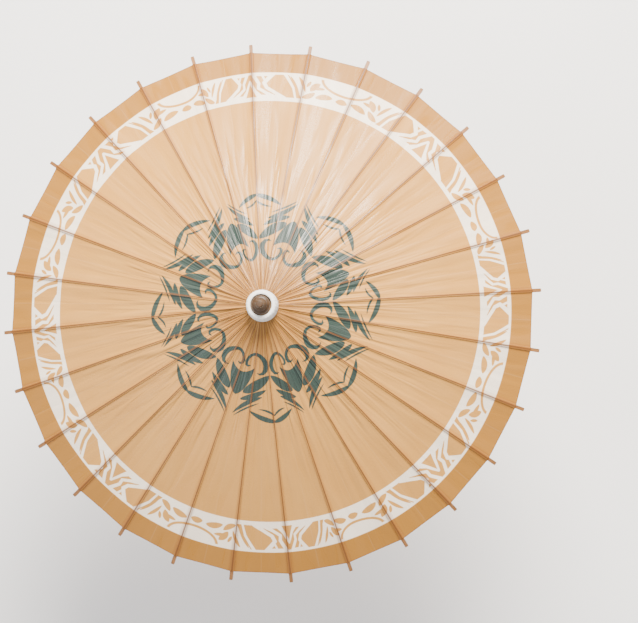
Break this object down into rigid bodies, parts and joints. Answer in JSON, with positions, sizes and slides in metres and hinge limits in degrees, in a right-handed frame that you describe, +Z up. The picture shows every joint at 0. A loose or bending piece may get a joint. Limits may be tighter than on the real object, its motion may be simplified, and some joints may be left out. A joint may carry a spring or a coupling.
{
  "type": "oil paper umbrella",
  "caption": "Open oiled paper parasol with a printed paper canopy on bamboo ribs, sliding runner, turned handle, white collar, finial and a beaded tassel",
  "frame": {"origin": "centre of the grip, on the shaft's axis", "axes": "+Z runs up the shaft from the grip to the finial; +X points out along the first rib; +Y completes the right-handed frame"},
  "size_m": [0.825, 0.825, 0.8089],
  "materials": {
    "rib_bamboo": "satin split bamboo",
    "shaft_bamboo": "polished bamboo pole",
    "handle_wood": "varnished pale wood",
    "turned_wood": "turned hardwood, light varnish",
    "oiled_paper": "paper with a printed pattern under tung oil, glossy",
    "collar_cloth": "white wrapped cloth",
    "lacing_thread": "waxed thread",
    "tassel_cord": "twisted cord",
    "tassel_silk": "floss thread",
    "gilt_band": "metallic thread wrap",
    "pearl_bead": "pearl coat",
    "crystal_bead": "clear facets"
  },
  "bodies": {
    "frame": {"shaft": "shaft_bamboo", "handle": "handle_wood", "handle_cap": "handle_wood", "hub": "turned_wood", "hub_lacing": "lacing_thread", "collar": "collar_cloth", "finial": "turned_wood", "canopy": "oiled_paper"},
    "rib_01": {"rib_01": "rib_bamboo"},
    "rib_02": {"rib_02": "rib_bamboo"},
    "rib_03": {"rib_03": "rib_bamboo"},
    "rib_04": {"rib_04": "rib_bamboo"},
    "rib_05": {"rib_05": "rib_bamboo"},
    "rib_06": {"rib_06": "rib_bamboo"},
    "rib_07": {"rib_07": "rib_bamboo"},
    "rib_08": {"rib_08": "rib_bamboo"},
    "rib_09": {"rib_09": "rib_bamboo"},
    "rib_10": {"rib_10": "rib_bamboo"},
    "rib_11": {"rib_11": "rib_bamboo"},
    "rib_12": {"rib_12": "rib_bamboo"},
    "rib_13": {"rib_13": "rib_bamboo"},
    "rib_14": {"rib_14": "rib_bamboo"},
    "rib_15": {"rib_15": "rib_bamboo"},
    "rib_16": {"rib_16": "rib_bamboo"},
    "rib_17": {"rib_17": "rib_bamboo"},
    "rib_18": {"rib_18": "rib_bamboo"},
    "rib_19": {"rib_19": "rib_bamboo"},
    "rib_20": {"rib_20": "rib_bamboo"},
    "rib_21": {"rib_21": "rib_bamboo"},
    "rib_22": {"rib_22": "rib_bamboo"},
    "rib_23": {"rib_23": "rib_bamboo"},
    "rib_24": {"rib_24": "rib_bamboo"},
    "rib_25": {"rib_25": "rib_bamboo"},
    "rib_26": {"rib_26": "rib_bamboo"},
    "rib_27": {"rib_27": "rib_bamboo"},
    "rib_28": {"rib_28": "rib_bamboo"},
    "stretcher_01": {"stretcher_01": "rib_bamboo"},
    "stretcher_03": {"stretcher_03": "rib_bamboo"},
    "stretcher_05": {"stretcher_05": "rib_bamboo"},
    "stretcher_07": {"stretcher_07": "rib_bamboo"},
    "stretcher_09": {"stretcher_09": "rib_bamboo"},
    "stretcher_11": {"stretcher_11": "rib_bamboo"},
    "stretcher_13": {"stretcher_13": "rib_bamboo"},
    "stretcher_15": {"stretcher_15": "rib_bamboo"},
    "stretcher_17": {"stretcher_17": "rib_bamboo"},
    "stretcher_19": {"stretcher_19": "rib_bamboo"},
    "stretcher_21": {"stretcher_21": "rib_bamboo"},
    "stretcher_23": {"stretcher_23": "rib_bamboo"},
    "stretcher_25": {"stretcher_25": "rib_bamboo"},
    "stretcher_27": {"stretcher_27": "rib_bamboo"},
    "runner": {"runner": "turned_wood", "runner_lacing": "lacing_thread"},
    "catch": {"catch": "rib_bamboo"},
    "tassel": {"tassel_cord": "tassel_cord", "bead_upper": "pearl_bead", "bead_crystal": "crystal_bead", "bead_lower": "pearl_bead", "tassel_head": "tassel_silk", "tassel_binding": "gilt_band", "tassel_skirt": "tassel_silk"}
  },
  "joints": [
    {"name": "canopy_fold", "type": "hinge", "parent": "frame", "child": "rib_01", "pos_m": [0.017, 0, 0.505], "axis": [0, 1, 0], "range_deg": [0, 61.6], "deforming": ["canopy"]},
    {"name": "rib_fold_02", "type": "hinge", "parent": "frame", "child": "rib_02", "pos_m": [0.01657, 0.00378, 0.505], "axis": [-0.2225, 0.9749, 0], "range_deg": [0, 61.6]},
    {"name": "rib_fold_03", "type": "hinge", "parent": "frame", "child": "rib_03", "pos_m": [0.01532, 0.00738, 0.505], "axis": [-0.4339, 0.901, 0], "range_deg": [0, 61.6]},
    {"name": "rib_fold_04", "type": "hinge", "parent": "frame", "child": "rib_04", "pos_m": [0.01329, 0.0106, 0.505], "axis": [-0.6235, 0.7818, 0], "range_deg": [0, 61.6]},
    {"name": "rib_fold_05", "type": "hinge", "parent": "frame", "child": "rib_05", "pos_m": [0.0106, 0.01329, 0.505], "axis": [-0.7818, 0.6235, 0], "range_deg": [0, 61.6]},
    {"name": "rib_fold_06", "type": "hinge", "parent": "frame", "child": "rib_06", "pos_m": [0.00738, 0.01532, 0.505], "axis": [-0.901, 0.4339, 0], "range_deg": [0, 61.6]},
    {"name": "rib_fold_07", "type": "hinge", "parent": "frame", "child": "rib_07", "pos_m": [0.00378, 0.01657, 0.505], "axis": [-0.9749, 0.2225, 0], "range_deg": [0, 61.6]},
    {"name": "rib_fold_08", "type": "hinge", "parent": "frame", "child": "rib_08", "pos_m": [0, 0.017, 0.505], "axis": [-1, 0, 0], "range_deg": [0, 61.6]},
    {"name": "rib_fold_09", "type": "hinge", "parent": "frame", "child": "rib_09", "pos_m": [-0.00378, 0.01657, 0.505], "axis": [-0.9749, -0.2225, 0], "range_deg": [0, 61.6]},
    {"name": "rib_fold_10", "type": "hinge", "parent": "frame", "child": "rib_10", "pos_m": [-0.00738, 0.01532, 0.505], "axis": [-0.901, -0.4339, 0], "range_deg": [0, 61.6]},
    {"name": "rib_fold_11", "type": "hinge", "parent": "frame", "child": "rib_11", "pos_m": [-0.0106, 0.01329, 0.505], "axis": [-0.7818, -0.6235, 0], "range_deg": [0, 61.6]},
    {"name": "rib_fold_12", "type": "hinge", "parent": "frame", "child": "rib_12", "pos_m": [-0.01329, 0.0106, 0.505], "axis": [-0.6235, -0.7818, 0], "range_deg": [0, 61.6]},
    {"name": "rib_fold_13", "type": "hinge", "parent": "frame", "child": "rib_13", "pos_m": [-0.01532, 0.00738, 0.505], "axis": [-0.4339, -0.901, 0], "range_deg": [0, 61.6]},
    {"name": "rib_fold_14", "type": "hinge", "parent": "frame", "child": "rib_14", "pos_m": [-0.01657, 0.00378, 0.505], "axis": [-0.2225, -0.9749, 0], "range_deg": [0, 61.6]},
    {"name": "rib_fold_15", "type": "hinge", "parent": "frame", "child": "rib_15", "pos_m": [-0.017, 0, 0.505], "axis": [0, -1, 0], "range_deg": [0, 61.6]},
    {"name": "rib_fold_16", "type": "hinge", "parent": "frame", "child": "rib_16", "pos_m": [-0.01657, -0.00378, 0.505], "axis": [0.2225, -0.9749, 0], "range_deg": [0, 61.6]},
    {"name": "rib_fold_17", "type": "hinge", "parent": "frame", "child": "rib_17", "pos_m": [-0.01532, -0.00738, 0.505], "axis": [0.4339, -0.901, 0], "range_deg": [0, 61.6]},
    {"name": "rib_fold_18", "type": "hinge", "parent": "frame", "child": "rib_18", "pos_m": [-0.01329, -0.0106, 0.505], "axis": [0.6235, -0.7818, 0], "range_deg": [0, 61.6]},
    {"name": "rib_fold_19", "type": "hinge", "parent": "frame", "child": "rib_19", "pos_m": [-0.0106, -0.01329, 0.505], "axis": [0.7818, -0.6235, 0], "range_deg": [0, 61.6]},
    {"name": "rib_fold_20", "type": "hinge", "parent": "frame", "child": "rib_20", "pos_m": [-0.00738, -0.01532, 0.505], "axis": [0.901, -0.4339, 0], "range_deg": [0, 61.6]},
    {"name": "rib_fold_21", "type": "hinge", "parent": "frame", "child": "rib_21", "pos_m": [-0.00378, -0.01657, 0.505], "axis": [0.9749, -0.2225, 0], "range_deg": [0, 61.6]},
    {"name": "rib_fold_22", "type": "hinge", "parent": "frame", "child": "rib_22", "pos_m": [0, -0.017, 0.505], "axis": [1, 0, 0], "range_deg": [0, 61.6]},
    {"name": "rib_fold_23", "type": "hinge", "parent": "frame", "child": "rib_23", "pos_m": [0.00378, -0.01657, 0.505], "axis": [0.9749, 0.2225, 0], "range_deg": [0, 61.6]},
    {"name": "rib_fold_24", "type": "hinge", "parent": "frame", "child": "rib_24", "pos_m": [0.00738, -0.01532, 0.505], "axis": [0.901, 0.4339, 0], "range_deg": [0, 61.6]},
    {"name": "rib_fold_25", "type": "hinge", "parent": "frame", "child": "rib_25", "pos_m": [0.0106, -0.01329, 0.505], "axis": [0.7818, 0.6235, 0], "range_deg": [0, 61.6]},
    {"name": "rib_fold_26", "type": "hinge", "parent": "frame", "child": "rib_26", "pos_m": [0.01329, -0.0106, 0.505], "axis": [0.6235, 0.7818, 0], "range_deg": [0, 61.6]},
    {"name": "rib_fold_27", "type": "hinge", "parent": "frame", "child": "rib_27", "pos_m": [0.01532, -0.00738, 0.505], "axis": [0.4339, 0.901, 0], "range_deg": [0, 61.6]},
    {"name": "rib_fold_28", "type": "hinge", "parent": "frame", "child": "rib_28", "pos_m": [0.01657, -0.00378, 0.505], "axis": [0.2225, 0.9749, 0], "range_deg": [0, 61.6]},
    {"name": "stretcher_fold_01", "type": "hinge", "parent": "rib_01", "child": "stretcher_01", "pos_m": [0.17645, 0, 0.44584], "axis": [0, 1, 0], "range_deg": [-123.2, 0]},
    {"name": "stretcher_fold_03", "type": "hinge", "parent": "rib_03", "child": "stretcher_03", "pos_m": [0.15898, 0.07656, 0.44584], "axis": [-0.4339, 0.901, 0], "range_deg": [-123.2, 0]},
    {"name": "stretcher_fold_05", "type": "hinge", "parent": "rib_05", "child": "stretcher_05", "pos_m": [0.11001, 0.13795, 0.44584], "axis": [-0.7818, 0.6235, 0], "range_deg": [-123.2, 0]},
    {"name": "stretcher_fold_07", "type": "hinge", "parent": "rib_07", "child": "stretcher_07", "pos_m": [0.03926, 0.17203, 0.44584], "axis": [-0.9749, 0.2225, 0], "range_deg": [-123.2, 0]},
    {"name": "stretcher_fold_09", "type": "hinge", "parent": "rib_09", "child": "stretcher_09", "pos_m": [-0.03926, 0.17203, 0.44584], "axis": [-0.9749, -0.2225, 0], "range_deg": [-123.2, 0]},
    {"name": "stretcher_fold_11", "type": "hinge", "parent": "rib_11", "child": "stretcher_11", "pos_m": [-0.11001, 0.13795, 0.44584], "axis": [-0.7818, -0.6235, 0], "range_deg": [-123.2, 0]},
    {"name": "stretcher_fold_13", "type": "hinge", "parent": "rib_13", "child": "stretcher_13", "pos_m": [-0.15898, 0.07656, 0.44584], "axis": [-0.4339, -0.901, 0], "range_deg": [-123.2, 0]},
    {"name": "stretcher_fold_15", "type": "hinge", "parent": "rib_15", "child": "stretcher_15", "pos_m": [-0.17645, 0, 0.44584], "axis": [0, -1, 0], "range_deg": [-123.2, 0]},
    {"name": "stretcher_fold_17", "type": "hinge", "parent": "rib_17", "child": "stretcher_17", "pos_m": [-0.15898, -0.07656, 0.44584], "axis": [0.4339, -0.901, 0], "range_deg": [-123.2, 0]},
    {"name": "stretcher_fold_19", "type": "hinge", "parent": "rib_19", "child": "stretcher_19", "pos_m": [-0.11001, -0.13795, 0.44584], "axis": [0.7818, -0.6235, 0], "range_deg": [-123.2, 0]},
    {"name": "stretcher_fold_21", "type": "hinge", "parent": "rib_21", "child": "stretcher_21", "pos_m": [-0.03926, -0.17203, 0.44584], "axis": [0.9749, -0.2225, 0], "range_deg": [-123.2, 0]},
    {"name": "stretcher_fold_23", "type": "hinge", "parent": "rib_23", "child": "stretcher_23", "pos_m": [0.03926, -0.17203, 0.44584], "axis": [0.9749, 0.2225, 0], "range_deg": [-123.2, 0]},
    {"name": "stretcher_fold_25", "type": "hinge", "parent": "rib_25", "child": "stretcher_25", "pos_m": [0.11001, -0.13795, 0.44584], "axis": [0.7818, 0.6235, 0], "range_deg": [-123.2, 0]},
    {"name": "stretcher_fold_27", "type": "hinge", "parent": "rib_27", "child": "stretcher_27", "pos_m": [0.15898, -0.07656, 0.44584], "axis": [0.4339, 0.901, 0], "range_deg": [-123.2, 0]},
    {"name": "runner_upright", "type": "hinge", "parent": "stretcher_01", "child": "runner", "pos_m": [0.017, 0, 0.38668], "axis": [0, 1, 0], "range_deg": [0, 61.6]},
    {"name": "catch_press", "type": "hinge", "parent": "frame", "child": "catch", "pos_m": [0.0045, 0, 0.322], "axis": [0, 1, 0], "range_deg": [0, 5]},
    {"name": "tassel_swing", "type": "hinge", "parent": "frame", "child": "tassel", "pos_m": [0, 0, -0.0465], "axis": [0, 1, 0], "range_deg": [-35, 35]}
  ],
  "couplings": [
    {"joint": "rib_fold_02", "follows": "canopy_fold", "ratio": 1},
    {"joint": "rib_fold_03", "follows": "canopy_fold", "ratio": 1},
    {"joint": "rib_fold_04", "follows": "canopy_fold", "ratio": 1},
    {"joint": "rib_fold_05", "follows": "canopy_fold", "ratio": 1},
    {"joint": "rib_fold_06", "follows": "canopy_fold", "ratio": 1},
    {"joint": "rib_fold_07", "follows": "canopy_fold", "ratio": 1},
    {"joint": "rib_fold_08", "follows": "canopy_fold", "ratio": 1},
    {"joint": "rib_fold_09", "follows": "canopy_fold", "ratio": 1},
    {"joint": "rib_fold_10", "follows": "canopy_fold", "ratio": 1},
    {"joint": "rib_fold_11", "follows": "canopy_fold", "ratio": 1},
    {"joint": "rib_fold_12", "follows": "canopy_fold", "ratio": 1},
    {"joint": "rib_fold_13", "follows": "canopy_fold", "ratio": 1},
    {"joint": "rib_fold_14", "follows": "canopy_fold", "ratio": 1},
    {"joint": "rib_fold_15", "follows": "canopy_fold", "ratio": 1},
    {"joint": "rib_fold_16", "follows": "canopy_fold", "ratio": 1},
    {"joint": "rib_fold_17", "follows": "canopy_fold", "ratio": 1},
    {"joint": "rib_fold_18", "follows": "canopy_fold", "ratio": 1},
    {"joint": "rib_fold_19", "follows": "canopy_fold", "ratio": 1},
    {"joint": "rib_fold_20", "follows": "canopy_fold", "ratio": 1},
    {"joint": "rib_fold_21", "follows": "canopy_fold", "ratio": 1},
    {"joint": "rib_fold_22", "follows": "canopy_fold", "ratio": 1},
    {"joint": "rib_fold_23", "follows": "canopy_fold", "ratio": 1},
    {"joint": "rib_fold_24", "follows": "canopy_fold", "ratio": 1},
    {"joint": "rib_fold_25", "follows": "canopy_fold", "ratio": 1},
    {"joint": "rib_fold_26", "follows": "canopy_fold", "ratio": 1},
    {"joint": "rib_fold_27", "follows": "canopy_fold", "ratio": 1},
    {"joint": "rib_fold_28", "follows": "canopy_fold", "ratio": 1},
    {"joint": "stretcher_fold_01", "follows": "canopy_fold", "ratio": -2},
    {"joint": "stretcher_fold_03", "follows": "canopy_fold", "ratio": -2},
    {"joint": "stretcher_fold_05", "follows": "canopy_fold", "ratio": -2},
    {"joint": "stretcher_fold_07", "follows": "canopy_fold", "ratio": -2},
    {"joint": "stretcher_fold_09", "follows": "canopy_fold", "ratio": -2},
    {"joint": "stretcher_fold_11", "follows": "canopy_fold", "ratio": -2},
    {"joint": "stretcher_fold_13", "follows": "canopy_fold", "ratio": -2},
    {"joint": "stretcher_fold_15", "follows": "canopy_fold", "ratio": -2},
    {"joint": "stretcher_fold_17", "follows": "canopy_fold", "ratio": -2},
    {"joint": "stretcher_fold_19", "follows": "canopy_fold", "ratio": -2},
    {"joint": "stretcher_fold_21", "follows": "canopy_fold", "ratio": -2},
    {"joint": "stretcher_fold_23", "follows": "canopy_fold", "ratio": -2},
    {"joint": "stretcher_fold_25", "follows": "canopy_fold", "ratio": -2},
    {"joint": "stretcher_fold_27", "follows": "canopy_fold", "ratio": -2},
    {"joint": "runner_upright", "follows": "canopy_fold", "ratio": 1}
  ]
}
